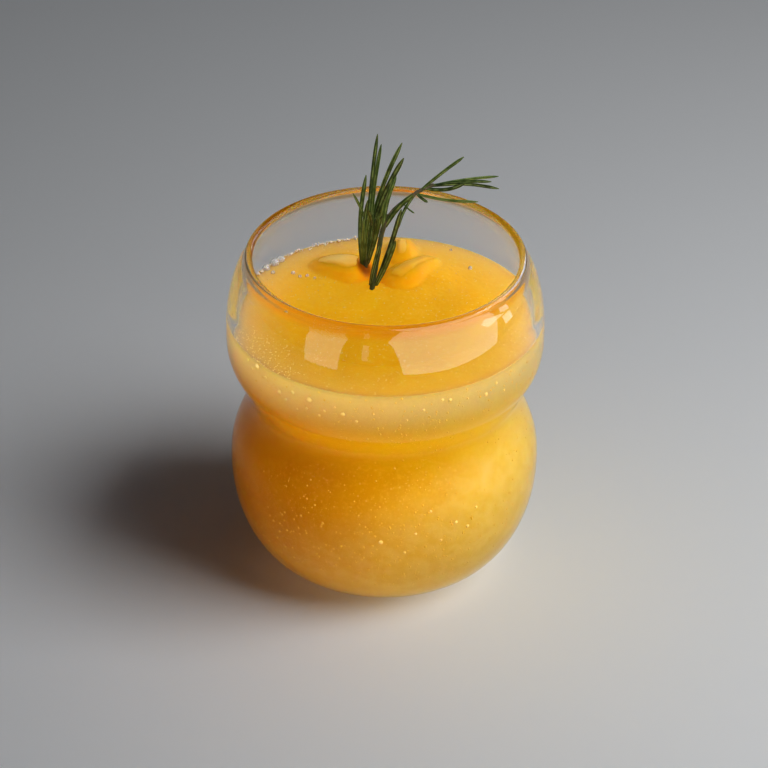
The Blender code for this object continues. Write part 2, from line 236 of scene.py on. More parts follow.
# Stems of the sprig in mm, from the end sunk in the drink to the growing tip
MAIN_STEM = [
    (-4.6, 11.3, 67.0),
    (-3.7, 12.3, 74.6),
    (-2.3, 13.4, 83.6),
    (-0.9, 14.2, 92.0),
    (1.3, 14.8, 96.7),
    (4.7, 15.5, 100.0),
    (8.4, 16.2, 102.6),
    (12.7, 17.0, 104.4),
]
SIDE_STEM = [
    (-5.9, 22.8, 69.0),
    (-5.6, 21.8, 76.7),
    (-5.1, 21.2, 83.6),
    (-4.1, 20.8, 88.5),
    (-2.3, 19.2, 92.3),
    (0.6, 14.8, 96.0),
]
STEM_RADIUS = 0.7 * MM
STEM_TIP_SHARE = 0.7
STEM_STEPS = 16
STEM_SIDES = 16
STEM_LUMPS = 0.14
STEM_LUMP_SIZE = 1.5 * MM
STEM_RIDGE = 0.06
BARK_COLOURS = [(0.35, (0.06, 0.05, 0.03)), (0.55, (0.20, 0.14, 0.11)), (0.7, (0.42, 0.33, 0.30))]
YOUNG_COLOUR = (0.045, 0.070, 0.022)
YOUNG_ENDS = (0.086, 0.098)

# Needle's form in shares: its thinness, its stalk's width, where its blunt tip starts, the depth
# and width of the groove along its top
NEEDLE_THINNESS = 0.6
NEEDLE_STALK = 0.7
NEEDLE_TIP = 0.8
GROOVE_DEPTH = 0.55
GROOVE_WIDTH = 0.30
NEEDLE_SLIMNESS = 0.84
NEEDLE_TURN = math.radians(35)
GOLDEN_TURN = math.radians(137.5)
GOLDEN_SHARE = 0.618
NEEDLE_RINGS = 22
NEEDLE_SIDES = 24
# Leaf tints, their dark end widened as painted shade between leaves that cast no shadow; the lighter
# stripes are partly pale rolled edges and partly painted highlight
NEEDLE_TINTS_AND_SHADE = [(0.0, (0.007, 0.018, 0.005)), (1.0, (0.050, 0.100, 0.020))]
STREAK_COLOUR = (0.12, 0.17, 0.06)
UNDER_COLOUR = (0.12, 0.16, 0.08)
STRIPE_AND_HIGHLIGHT_COLOUR = (0.30, 0.38, 0.14)

# Needles: share of the way up the stem to the root, and in mm how far beside the stem's middle the
# root lies, the tip, the sideways bow and the width
MAIN_NEEDLES = [
    (0.16, 0.8, (4.0, 9.5, 101.0), 0.4, 1.6),
    (0.16, 1.0, (2.5, 9.0, 91.5), 0.3, 1.7),
    (0.16, -0.7, (-1.5, 10.5, 90.0), -0.2, 1.3),
    (0.43, 0.0, (2.5, 14.0, 108.5), -0.7, 1.6),
    (0.45, 0.4, (7.0, 13.0, 103.5), -0.7, 1.6),
    (0.84, 0.0, (3.0, 12.5, 93.0), 0.7, 1.1),
    (0.70, 0.0, (7.5, 11.0, 99.0), 0.3, 0.8),
    (0.84, 0.0, (11.0, 12.5, 101.5), 0.2, 0.9),
    (0.83, 0.0, (24.5, 13.0, 101.5), 0.7, 1.1),
    (0.88, 0.0, (20.5, 16.0, 113.5), -0.2, 1.2),
    (0.92, 0.0, (21.0, 12.5, 107.5), 1.2, 1.2),
    (0.98, 0.0, (30.0, 19.0, 106.0), -0.4, 1.3),
    (0.99, 0.0, (28.0, 16.0, 106.0), -0.5, 1.0),
    (0.97, 0.0, (30.0, 14.0, 105.0), -1.0, 1.1),
]
SIDE_NEEDLES = [
    (0.18, -0.9, (-5.5, 20.0, 105.5), -1.0, 1.4),
    (0.19, -0.6, (-5.0, 17.0, 99.5), -0.6, 1.3),
    (0.18, -0.2, (-4.5, 16.5, 96.5), -0.3, 1.2),
    (0.18, 0.4, (-3.5, 19.0, 94.5), 0.1, 1.3),
    (0.21, 0.8, (-1.5, 20.0, 99.0), 0.2, 1.3),
    (0.24, 1.0, (-0.5, 16.0, 100.0), 0.2, 1.4),
    (0.20, 0.6, (-2.0, 17.5, 95.0), 0.1, 1.3),
    (0.18, -0.9, (-6.0, 17.0, 93.5), -0.1, 1.2),
    (0.54, 0.0, (0.0, 19.5, 99.5), 0.2, 1.3),
    (0.50, -0.4, (-2.5, 20.0, 118.0), -0.3, 1.3),
    (0.55, 0.3, (-1.5, 18.0, 116.0), -0.5, 1.3),
    (0.55, 0.0, (4.0, 17.0, 117.0), -0.9, 1.7),
    (0.57, 0.4, (4.5, 15.0, 113.5), -0.8, 1.6),
    (0.50, 0.0, (-9.0, 18.0, 101.0), 0.6, 0.9),
    (0.60, 0.0, (-5.0, 13.5, 98.5), 0.5, 1.1),
]

# Larger grains and bubbles against the wall: turn in degrees, height and radius in mm
WALL_BUBBLES = [
    (-59, 72.9, 0.5), (-53, 73.1, 0.8), (-56, 71.3, 0.6), (-41, 69.4, 0.7),
    (-35, 71.0, 0.6), (-28, 70.4, 0.8), (-15, 68.3, 0.6), (-22, 68.2, 0.4),
    (-24, 66.5, 0.4), (-29, 67.6, 0.4), (21, 72.1, 0.4), (24, 71.6, 0.5),
    (39, 69.8, 0.6), (48, 68.3, 0.4), (-62, 70.6, 0.4), (-48, 71.6, 0.5),
    (-46, 69.6, 0.4), (-38, 68.0, 0.4), (-33, 66.4, 0.3), (-18, 70.0, 0.3),
    (-10, 66.6, 0.4), (-4, 69.2, 0.3), (8, 67.2, 0.3), (14, 69.9, 0.4),
    (31, 70.6, 0.3), (44, 71.8, 0.4), (28, 31.6, 0.5), (33, 29.2, 0.5),
    (12, 30.4, 0.4), (22, 27.0, 0.4), (8, 24.5, 0.4), (37, 34.0, 0.4),
    (-1, 28.2, 0.6), (18, 36.4, 0.4),
]

# Bubbles lying on the drink's top: x, y and radius in mm, and the share of a radius that is air
TOP_BUBBLES = [
    (-32.8, 22.4, 1.1),
    (-30.6, 25.2, 1.3),
    (-29.0, 27.2, 1.2),
    (-30.8, 20.4, 0.6),
    (-25.3, 20.2, 0.6),
    (-23.4, 18.6, 0.5),
    (-21.4, 18.9, 0.5),
    (-19.3, 17.6, 0.4),
    (23.1, 23.7, 0.6),
    (18.0, 33.6, 0.4),
]
BUBBLE_HOLLOW = 0.90

# Steps from pole to pole of a larger bubble, a bead of foam and a grain
BUBBLE_STEPS = 12
FOAM_STEPS = 6
GRAIN_STEPS = 4

# Ice grains against the wall: how many, their seed, radii in mm and heights, then how likely one
# is to stay, by patches, by side and near the waist
SPECKS = 2800
SPECK_SEED = 7
SPECK_SIZES = (0.09, 0.32)
SPECK_HEIGHTS = (0.006, LEVEL - 0.0005)
SPECK_CHANCE = 0.45
SPECK_PATCHES = 0.8
SPECK_PATCH_SIZE = (25.0, 0.012)
SPECK_SIDE = 0.35
SPECK_SIDE_TURN = 35.0
SPARSENESS = 0.5
SPARSE_HEIGHT = WAIST_HEIGHT - 0.004
SPARSE_BREADTH = 0.009

# Ice grains on the drink's top, which crowd towards the wall, and the film of them above the
# level: how many, their seed, radii in mm, the film's turns in degrees and its height
TOP_SPECKS = 800
TOP_SEED = 5
TOP_SIZES = (0.07, 0.20)
TOP_CROWDING = 0.35
TOP_INSET = 0.001
FILM_SPECKS = 320
FILM_TURNS = (-105, -35)
FILM_HEIGHT = 0.009
FILM_SIZES = (0.05, 0.15)

# Foam along the wall: how many beads, their seed, radii in mm, turns in degrees, how they cluster,
# with a cluster's breadth in degrees, and how high they heap
FOAM_BEADS = 300
FOAM_SEED = 3
FOAM_SIZES = (0.06, 0.34)
FOAM_TURNS = (-172, -116)
FOAM_CHANCE = 0.45
FOAM_CLUSTERS = 1.2
FOAM_CLUSTER = 4.0
FOAM_HEIGHT = 0.0009

# Soft lamps that leave no gleam: turn and elevation in degrees, distance and size in metres,
# power in watts and colour
LAMPS = [
    ("key", 73, 49, 0.60, 0.38, 2.1, (1.0, 0.99, 0.98)),
    ("left_fill", -78, 0, 1.00, 0.60, 1.60, (1.0, 0.92, 0.75)),
    ("front_fill", 4, -14, 1.00, 0.60, 3.5, (1.0, 0.94, 0.76)),
    ("top_fill", -40, 70, 0.80, 0.50, 1.5, (1.0, 0.99, 0.95)),
    ("back_fill", 180, 8, 1.00, 0.60, 1.2, (1.0, 0.95, 0.85)),
]

# Windows that show only as gleams: turn and elevation in degrees, distance and size in metres
# and power in watts
WINDOWS = [
    ("window", 46, 21, 0.29, (0.44, 0.29), 1.30),
    ("side_window", -42, 21, 0.29, (0.13, 0.27), 0.26),
    ("window_gap", -13, 17, 0.29, (0.02, 0.10), 0.010),
    ("small_window", 93, 10, 0.275, (0.04, 0.05), 0.025),
    ("rim_window", 115, 28, 1.10, (1.60, 0.50), 10.0),
]
WINDOW_COLOUR = (0.76, 1.0, 1.55)
LIGHT_AIM = (0.0, 0.0, 0.06)

# Room: its brightness from the horizon, 0, to straight overhead, 1, its strength at the far left
# and right, and its colour
ROOM = [(0.0, 0.11), (0.28, 0.07), (0.6, 0.03), (1.0, 0.02)]
ROOM_SIDES = (0.3, 1.75)
ROOM_COLOUR = (0.90, 0.95, 1.0)

# How often light may be turned
BOUNCES = 40

# Camera: lens and sensor in mm, and where it stands and looks
LENS = 154.7
SENSOR = 36.0
CAMERA_AIM = (-0.00022, 0.0, 0.0518)
CAMERA_DISTANCE = 0.897
CAMERA_PITCH = math.radians(32.7)
CAMERA_ROLL = math.radians(0.5)


def remove_everything():
    """Empty the scene before anything is made."""
    for thing in list(bpy.data.objects):
        bpy.data.objects.remove(thing, do_unlink=True)


def spread(start, end, steps):
    """Evenly spaced values from start to end, both included."""
    return [start + (end - start) * i / steps for i in range(steps + 1)]


def swing(share):
    """A half cosine that goes from 0 to 1."""
    return (1.0 - math.cos(math.pi * share)) / 2.0


def limited(value, high=1.0):
    """The value, but not below 0 or above high."""
    return max(0.0, min(high, value))


def hill(away):
    """A smooth hill: 1 at its middle and next to nothing from 2 on."""
    return math.exp(-(away**2))


def outer_radius(z):
    """Radius of the glass's outer surface at a height."""
    if z <= LOWER_HEIGHT:
        drop = (LOWER_HEIGHT - z) / LOWER_HEIGHT
        return FOOT_RADIUS + (LOWER_RADIUS - FOOT_RADIUS) * math.sqrt(max(0.0, 1.0 - drop**2))
    if z <= WAIST_HEIGHT:
        share = (z - LOWER_HEIGHT) / (WAIST_HEIGHT - LOWER_HEIGHT)
        return LOWER_RADIUS - (LOWER_RADIUS - WAIST_RADIUS) * swing(share**BELOW_WAIST_WARP)
    if z <= UPPER_HEIGHT:
        share = (UPPER_HEIGHT - z) / (UPPER_HEIGHT - WAIST_HEIGHT)
        return UPPER_RADIUS - (UPPER_RADIUS - WAIST_RADIUS) * swing(share**ABOVE_WAIST_WARP)
    rise = (z - UPPER_HEIGHT) / SHOULDER_DROP
    return UPPER_RADIUS - SHOULDER_INSET * (1.0 - math.sqrt(max(0.0, 1.0 - rise**2)))


def wall_at(z):
    """Thickness of the wall at a height: it thins out towards the lip."""
    share = max(0.0, (z - THINNING_START) / (LIP_HEIGHT - THINNING_START))
    return WALL + (LIP_WALL - WALL) * share


def inner_radius(z):
    """Radius of the glass's inner surface at a height above the floor's flat middle."""
    if z <= LOWER_HEIGHT:
        drop = (LOWER_HEIGHT - z) / (LOWER_HEIGHT - BASE)
        reach = LOWER_RADIUS - WALL - FLOOR_RADIUS
        return FLOOR_RADIUS + reach * math.sqrt(max(0.0, 1.0 - drop**2))
    return outer_radius(z) - wall_at(z)


def bowl_bottom(radius, flat_radius, bottom, top):
    """Quarter ellipse from the widest point at top, down and in to the flat at bottom."""
    points = []
    for angle in spread(0.0, math.pi / 2.0, FOOT_STEPS):
        r = flat_radius + (radius - flat_radius) * math.cos(angle)
        points.append((r, top - (top - bottom) * math.sin(angle)))
    return points


def glass_profile():
    """The glass's section, from the middle of its floor up the inside, over the lip and down."""
    inside = [(0.0, BASE)]
    floor = bowl_bottom(LOWER_RADIUS - WALL, FLOOR_RADIUS, BASE, LOWER_HEIGHT)
    inside += reversed(floor)
    for low, high in ZONES:
        inside += [(inner_radius(z), z) for z in spread(low, high, ZONE_STEPS)[1:]]
    inside.pop()
    lip = []
    for angle in spread(math.pi, 0.0, LIP_STEPS):
        lip.append((LIP_RADIUS + LIP_BEAD * math.cos(angle), LIP_HEIGHT + LIP_BEAD * math.sin(angle)))
    outside = []
    for low, high in reversed(ZONES):
        outside += [(outer_radius(z), z) for z in spread(high, low, ZONE_STEPS)[1:]]
    foot = bowl_bottom(LOWER_RADIUS, FOOT_RADIUS, 0.0, LOWER_HEIGHT)
    return inside + lip + outside + foot[1:] + [(0.0, 0.0)]


def drink_profile():
    """The drink's section, from the middle of its top out to the wall and down to the floor."""
    top = [(r, LEVEL) for r in spread(0.0, inner_radius(LEVEL) + EDGE_REACH, TOP_RINGS)]
    side = [(inner_radius(z) + EDGE_REACH, z) for z in (LEVEL - EDGE_STEP, LEVEL - 8.0 * EDGE_STEP)]
    for high, low in ((side[-1][1], WAIST_HEIGHT), (WAIST_HEIGHT, LOWER_HEIGHT)):
        side += [(inner_radius(z) + REACH, z) for z in spread(high, low, ZONE_STEPS)[1:]]
    bowl_radius = LOWER_RADIUS - WALL + REACH
    floor = bowl_bottom(bowl_radius, FLOOR_RADIUS, BASE - REACH, LOWER_HEIGHT)
    return top + side + floor[1:] + [(0.0, BASE - REACH)]


def smooth_mesh(name, points, faces):
    """A mesh of these points and faces, shaded smooth."""
    mesh = bpy.data.meshes.new(name)
    mesh.from_pydata(points, [], faces)
    mesh.shade_smooth()
    return mesh


def turned(profile, sides):
    """Points and faces of a closed form: a profile that starts and ends on the Z axis, turned."""
    points = [Vector((0.0, 0.0, profile[0][1]))]
    for r, z in profile[1:-1]:
        for i in range(sides):
            angle = 2.0 * math.pi * i / sides
            points.append(Vector((r * math.cos(angle), r * math.sin(angle), z)))
    points.append(Vector((0.0, 0.0, profile[-1][1])))
    last = len(points) - 1
    faces = []
    for i in range(sides):
        after = (i + 1) % sides
        faces.append((0, 1 + i, 1 + after))
        for ring in range(len(profile) - 3):
            start = 1 + ring * sides
            below = start + sides
            faces.append((start + i, below + i, below + after, start + after))
        faces.append((last, last - sides + after, last - sides + i))
    return points, faces


def new_object(name, data):
    """A new object in the scene."""
    made = bpy.data.objects.new(name, data)
    bpy.context.scene.collection.objects.link(made)
    return made


def add_piece(mesh, materials, slot, *nodes):
    """A mesh that rides on the part's one body and may stand for CAD nodes."""
    piece = new_object(mesh.name, mesh)
    for material in materials:
        mesh.materials.append(material)
    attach(piece, "root")
    if nodes:
        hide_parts(*nodes)
    return piece


def set_attributes(mesh, values_by_name):
    """Numbers for every point of a mesh, which its material reads by name."""
    for name, values in values_by_name.items():
        attribute = mesh.attributes.new(name, "FLOAT", "POINT")
        attribute.data.foreach_set("value", values)


def set_inputs(node, **values):
    """Plain values of a node's sockets, with _ in place of each space."""
    for name, value in values.items():
        node.inputs[name.replace("_", " ")].default_value = value


def set_ramp(ramp, stops):
    """Give a colour ramp's node its stops of (position, colour)."""
    elements = ramp.color_ramp.elements
    while len(elements) < len(stops):
        elements.new(0.5)
    for element, (position, colour) in zip(elements, stops):
        element.position = position
        element.color = (*colour, 1.0)


class Shader:
    """A material with one Principled shader, and short calls that add nodes to it."""

    def __init__(self, name):
        self.material = bpy.data.materials.new(name)
        self.material.use_nodes = True
        self.nodes = self.material.node_tree.nodes
        self.links = self.material.node_tree.links
        self.surface = self.nodes["Principled BSDF"]

    def set(self, **values):
        """Plain values of the shader's own sockets."""
        set_inputs(self.surface, **values)

    def link(self, output, name):
        """A node's output led to one of the shader's sockets."""
        self.links.new(output, self.surface.inputs[name])

    def node(self, kind, **settings):
        """A new node with its settings."""
        made = self.nodes.new(kind)
        for name, value in settings.items():
            setattr(made, name, value)
        return made

    def place(self, stretch=None):
        """The point's own place in metres, which may be stretched along each axis."""
        source = self.node("ShaderNodeTexCoord").outputs["Object"]
        if stretch is None:
            return source
        mapping = self.node("ShaderNodeMapping")
        set_inputs(mapping, Scale=stretch)
        self.links.new(source, mapping.inputs["Vector"])
        return mapping.outputs["Vector"]

    def axes(self):
        """The point's own place as the outputs X, Y and Z."""
        split = self.node("ShaderNodeSeparateXYZ")
        self.links.new(self.place(), split.inputs["Vector"])
        return split.outputs

    def noise(self, size, detail=2.0, roughness=0.5, stretch=None):
        """Noise whose features are about size metres across."""
        made = self.node("ShaderNodeTexNoise")
        set_inputs(made, Scale=1.0 / size, Detail=detail, Roughness=roughness)
        self.links.new(self.place(stretch), made.inputs["Vector"])
        return made.outputs["Fac"]

    def cells(self, size):
        """Distance from the middle of the nearest of many cells, each about size metres wide."""
        made = self.node("ShaderNodeTexVoronoi")
        set_inputs(made, Scale=1.0 / size)
        self.links.new(self.place(), made.inputs["Vector"])
        return made.outputs["Distance"]

    def attribute(self, name):
        """The number that the mesh carries under this name."""
        return self.node("ShaderNodeAttribute", attribute_name=name).outputs["Fac"]

    def ramp(self, value, stops):
        """A colour for each value, from stops of (position, colour)."""
        made = self.node("ShaderNodeValToRGB")
        set_ramp(made, stops)
        self.links.new(value, made.inputs["Fac"])
        return made.outputs["Color"]

    def range(self, value, low, high, new_low=0.0, new_high=1.0):
        """A value moved smoothly from one range to another."""
        made = self.node("ShaderNodeMapRange", interpolation_type="SMOOTHSTEP")
        self.links.new(value, made.inputs["Value"])
        set_inputs(made, From_Min=low, From_Max=high, To_Min=new_low, To_Max=new_high)
        return made.outputs["Result"]

    def math(self, operation, first, second):
        """Arithmetic on a value with another value or a plain number."""
        made = self.node("ShaderNodeMath", operation=operation)
        for place, value in zip(made.inputs, (first, second)):
            if isinstance(value, float):
                place.default_value = value
            else:
                self.links.new(value, place)
        return made.outputs["Value"]

    def mix(self, share, first, second, blend="MIX"):
        """Two colours mixed; each is a node's output or a plain colour."""
        made = self.node("ShaderNodeMix", data_type="RGBA", blend_type=blend)
        inputs = {"Factor": made.inputs[0], "A": made.inputs[6], "B": made.inputs[7]}
        for name, value in (("Factor", share), ("A", first), ("B", second)):
            if isinstance(value, bpy.types.NodeSocket):
                self.links.new(value, inputs[name])
            elif isinstance(value, float):
                inputs[name].default_value = value
            else:
                inputs[name].default_value = (*value, 1.0)
        return made.outputs[2]

    def bump(self, height, distance, strength=1.0):
        """Fine relief on the surface, distance metres deep."""
        made = self.node("ShaderNodeBump")
        set_inputs(made, Distance=distance, Strength=strength)
        self.links.new(height, made.inputs["Height"])
        self.link(made.outputs["Normal"], "Normal")


def glass_material():
    """Clear glass, misted below the level of the cold drink, with a painted orange glow at its lip
    and its gleams painted out low down, on its inner face and at the lip's left.
    """
    look = Shader("clear_glass")
    look.set(IOR=1.48, Transmission_Weight=1.0)
    axes = look.axes()
    lip = look.range(axes["Z"], *LIP_ENDS)
    # Painted glow: the lip tinted with the drink's orange seen through it
    look.link(look.mix(lip, GLASS_COLOUR, LIP_GLOW_COLOUR), "Base Color")
    # Painted reflection: the gleams' mask, nothing low down and at the lip's left, little on the
    # inner face
    left = look.range(axes["X"], *LEFT_LIP_ENDS, 1.0, 0.0)
    low = look.range(axes["Z"], *LOW_GLEAM_ENDS)
    kept = look.math("SUBTRACT", low, look.math("MULTIPLY", left, lip))
    inner = look.math("MULTIPLY", look.attribute("inner"), 1.0 - INNER_GLEAM)
    kept = look.math("MULTIPLY", kept, look.math("SUBTRACT", 1.0, inner))
    look.link(look.mix(kept, (0.0, 0.0, 0.0), GLEAM), "Specular Tint")
    up = look.math("DIVIDE", axes["Z"], LIP_HEIGHT)
    mist = [(z / LIP_HEIGHT, (roughness, roughness, roughness)) for z, roughness in MIST]
    look.link(look.ramp(up, mist), "Roughness")
    return look.material


def slush_colour(look, dark, light, painted_shades):
    """Mango yellow with painted shade and light along its axes, in its pale band, haze and waist,
    paler near the wall and the level, with painted shade at its edge, round the sprig and the mango
    pieces and a painted shadow in its hollow.
    """
    axes = look.axes()
    body = look.ramp(look.noise(0.012, detail=3.0), [(0.35, dark), (0.65, light)])
    fine = look.noise(0.0011, detail=3.0, roughness=0.7)
    body = look.mix(look.range(fine, 0.45, 0.72, 0.0, 0.3), body, FINE_COLOUR)
    body = look.mix(look.range(look.cells(0.0019), 0.22, 0.08, 0.0, 0.3), body, GRAIN_COLOUR)
    # Haze: partly cloudy mottling, partly painted light at the lit right
    haze = look.range(look.noise(0.0035, detail=4.0, roughness=0.6), 0.33, 0.67, 0.6, 1.0)
    body = look.mix(look.math("MULTIPLY", haze, look.attribute("haze")), body, HAZE_AND_LIGHT_COLOUR)
    # Painted shade and light: the colours multiplied along each axis
    for axis, stops in painted_shades:
        along = look.range(axes[axis], -LOWER_RADIUS, LOWER_RADIUS)
        body = look.mix(1.0, body, look.ramp(along, stops), "MULTIPLY")
    side = look.range(axes["X"], -LOWER_RADIUS, LOWER_RADIUS)
    # Painted light on the shaded waist, redder at the left
    body = look.mix(look.attribute("waist"), body, look.ramp(side, WAIST_LIGHT_COLOURS))
    # Pale band, partly painted light, lighter at the left and darker at the right as painted light
    # and shade
    body = look.mix(look.attribute("pale"), body, look.mix(side, *PALE_BAND_AND_LIGHT_COLOURS))
    # The ring is the drink's own paler colour; the edge and the deep orange are painted shade
    for name, colour in (("ring", RING_COLOUR), ("edge", EDGE_SHADE_COLOUR), ("deep", CREVICE_SHADE_COLOUR)):
        body = look.mix(look.attribute(name), body, colour)
    # Painted shadow in the hollow at the sprig's foot
    hollow = look.range(look.attribute("deep"), 0.45, 0.85, 0.0, 0.9)
    return look.mix(hollow, body, HOLLOW_SHADOW_COLOUR)


def slush_material(name):
    """Frozen mango drink: milky, soft and wet, with its gleam dimmed as painted shade round the sprig
    and the mango pieces, most deep in its hollow.
    """
    dark, light, depth, roughness, index = SLUSH_LOOKS[name]
    look = Shader(name)
    look.set(Roughness=roughness, IOR=index)
    look.set(Subsurface_Weight=1.0, Subsurface_Scale=depth, Subsurface_Radius=(1.0, 0.68, 0.16))
    look.link(slush_colour(look, dark, light, PAINTED_SHADES[name]), "Base Color")
    # Painted shade: the gleam dimmed where the drink takes painted shade
    look.link(look.mix(look.attribute("deep"), WHITE, HOLLOW_SHADED_GLEAM), "Specular Tint")
    grain = look.math("ADD", look.noise(0.0012, detail=3.0), look.noise(0.004, detail=2.0))
    look.bump(grain, 0.0003, strength=0.25)
    return look.material


def mango_material():
    """Soft mango flesh, with painted light on its ridges."""
    look = Shader("mango_flesh")
    look.set(Roughness=0.30, IOR=1.36, Specular_IOR_Level=0.4)
    look.set(Subsurface_Weight=1.0, Subsurface_Scale=0.0009, Subsurface_Radius=(1.0, 0.9, 0.6))
    fibres = look.noise(0.0022, detail=3.0, stretch=(1.0, 1.0, 0.4))
    body = look.ramp(fibres, MANGO_COLOURS)
    look.link(look.mix(look.attribute("ridge"), body, RIDGE_LIGHT_COLOUR), "Base Color")
    look.bump(look.noise(0.0014, detail=3.0), 0.0003, strength=0.5)
    return look.material


def bead_material(name, colour):
    """Pale ice grains or foam beads."""
    look = Shader(name)
    look.set(Base_Color=(*colour, 1.0), Roughness=0.15, IOR=1.33)
    look.set(Subsurface_Weight=0.5, Subsurface_Scale=0.0005, Subsurface_Radius=(1.0, 0.7, 0.3))
    return look.material


def bubble_material():
    """Thin skins of bubbles that show what lies under them."""
    look = Shader("bubble_skin")
    look.set(Base_Color=(*SKIN_COLOUR, 1.0), Roughness=0.0, IOR=1.33, Transmission_Weight=0.75)
    return look.material


def needle_material():
    """Dark, leathery rosemary leaves with a pale underside, lighter stripes that are partly pale
    rolled edges and partly painted highlight, and darker leaves as painted shade.
    """
    look = Shader("rosemary_needle")
    look.set(Roughness=0.42, IOR=1.45, Specular_IOR_Level=0.5)
    green = look.ramp(look.attribute("tint"), NEEDLE_TINTS_AND_SHADE)
    streaks = look.noise(0.0006, detail=3.0, stretch=(1.0, 1.0, 0.15))
    green = look.mix(look.range(streaks, 0.45, 0.75, 0.0, 0.30), green, STREAK_COLOUR)
    green = look.mix(look.attribute("under"), green, UNDER_COLOUR)
    broken = look.range(look.noise(0.0025, detail=3.0), 0.35, 0.60, 0.15, 0.85)
    # Stripes at the edges and along the top: partly pale rolled edges, partly painted highlight
    stripe = look.math("MULTIPLY", look.attribute("stripe"), broken)
    look.link(look.mix(stripe, green, STRIPE_AND_HIGHLIGHT_COLOUR), "Base Color")
    look.bump(look.noise(0.0003, detail=3.0), 0.0001, strength=0.5)
    return look.material


def stem_material():
    """Stem: dark green at the foot, with pale grey-pink bark above."""
    look = Shader("rosemary_stem")
    look.set(Roughness=0.6, IOR=1.45)
    bark = look.noise(0.0009, detail=4.0, stretch=(1.0, 1.0, 0.3))
    colour = look.ramp(bark, BARK_COLOURS)
    young = look.range(look.axes()["Z"], *YOUNG_ENDS, 0.9, 0.45)
    look.link(look.mix(young, colour, YOUNG_COLOUR), "Base Color")
    look.bump(bark, 0.0002, strength=0.8)
    return look.material


def make_glass():
    """The glass, fine and clear, in place of its solid."""
    mesh = smooth_mesh("glass_shell", *turned(glass_profile(), SEGMENTS))
    inner = []
    for vertex in mesh.vertices:
        x, y, z = vertex.co
        inside = z < LIP_HEIGHT and math.hypot(x, y) < outer_radius(z) - LIP_WALL / 2.0
        inner.append(1.0 if inside else 0.0)
    set_attributes(mesh, {"inner": inner})
    glass = add_piece(mesh, [glass_material()], "glass", "glass")
    glass.visible_shadow = False
    return glass


def surface_rise(x, y):
    """Height of the drink's uneven top above its level, which fades to nothing at the wall."""
    rise = noise.noise(Vector((x, y, 0.0)) / RIPPLE_SIZE) * RIPPLE_HEIGHT
    rise += noise.noise(Vector((x, y, 0.0)) / GRAIN_SIZE) * GRAIN_HEIGHT
    for (middle_x, middle_y), height, breadth in HEAPS:
        away = math.hypot(x - middle_x * MM, y - middle_y * MM) / (breadth * MM)
        rise += height * MM * hill(away)
    inward = (1.0 - math.hypot(x, y) / inner_radius(LEVEL)) * FLATTENING
    return rise * limited(inward)


def make_drink(mango):
    """The slushy up to its level, lapping at the mango pieces."""
    mesh = smooth_mesh("slush_body", *turned(drink_profile(), SEGMENTS))
    trees = [BVHTree.FromObject(piece, bpy.context.evaluated_depsgraph_get()) for piece in mango]
    spots = disc_spots()
    tops = []
    shares = {name: [] for name in ("pale", "haze", "waist", "ring", "deep", "edge")}
    for vertex in mesh.vertices:
        x, y, z = vertex.co
        top = z > LEVEL - EDGE_STEP / 2.0
        if top:
            height = surface_rise(x, y)
            lapped = lapped_height(x, y, height, trees, spots) - height
            vertex.co.z = z + height + lapped
            found = top_shares(x, y, lapped)
        else:
            found = side_shares(x, z)
        tops.append(top)
        for name, values in shares.items():
            values.append(found.get(name, 0.0))
    set_attributes(mesh, shares)
    looks = [slush_material(name) for name in SLUSH_LOOKS]
    drink = add_piece(mesh, looks, "slush", "slush")
    for face in mesh.polygons:
        if all(tops[corner] for corner in face.vertices):
            face.material_index = 1
    mesh.set_sharp_from_angle(angle=SHARP_ANGLE)
    return drink


def disc_spots():
    """Offsets that sample a disc evenly, the first at its middle."""
    spots = [(0.0, 0.0)]
    for ring in range(1, LAP_RINGS + 1):
        for i in range(6 * ring):
            angle = 2.0 * math.pi * i / (6 * ring)
            reach = LAP_REACH * ring / LAP_RINGS
            spots.append((reach * math.cos(angle), reach * math.sin(angle)))
    return spots


def lapped_height(x, y, height, trees, spots):
    """Height above the level of the drink where it may lap at a mango piece."""
    if all(tree.find_nearest(Vector((x, y, LEVEL)))[3] > LAP_REACH for tree in trees):
        return height
    best = height
    for across, along in spots:
        start = Vector((x + across, y + along, LIP_HEIGHT))
        fall = LAP_STEP + (across**2 + along**2) / (2.0 * LAP_ROUNDING)
        tops = [tree.ray_cast(start, Vector((0.0, 0.0, -1.0)))[0] for tree in trees]
        best = max([best] + [top.z - LEVEL - fall for top in tops if top is not None])
    return best


def side_shares(x, z):
    """How much the drink's side shows of its band and haze, both partly painted light, of the painted
    light at its waist and of the painted shade at its edge.
    """
    # The haze reaches higher at the right, partly painted light where the key falls
    haze_top = HAZE_TOP + HAZE_TILT * x
    return {
        "pale": BAND_SHARE * swing(limited((z - BAND_BOTTOM) / BAND_BREADTH)),
        "haze": HAZE_SHARE * swing(limited((haze_top - z) / HAZE_FADE)),
        "waist": WAIST_LIGHT_SHARE * hill((z - WAIST_LIGHT_MIDDLE) / WAIST_LIGHT_BREADTH),
        "edge": EDGE_SHADE_SHARE * math.exp(-abs(LEVEL - z) / EDGE_FADE),
    }


def top_shares(x, y, lapped):
    """How much the drink's top shows of its ring, of painted shade in spots and on the skirts at the
    mango pieces, and of painted shade at its edge.
    """
    r = math.hypot(x, y)
    back = RING_MIDDLE + (1.0 - RING_MIDDLE) * (y - x * RING_TILT) / RING_TILT_REACH
    ring = max(0.0, (r - RING_START) / RING_BREADTH) ** 1.2
    return {
        "ring": limited(back, RING_SHARE) * ring,
        "deep": max(crevice_shade(x, y), min(LAP_SHADE_MOST, lapped / LAP_SHADING)),
        "edge": EDGE_SHADE_SHARE * math.exp(-abs(r - inner_radius(LEVEL)) / EDGE_FADE),
    }


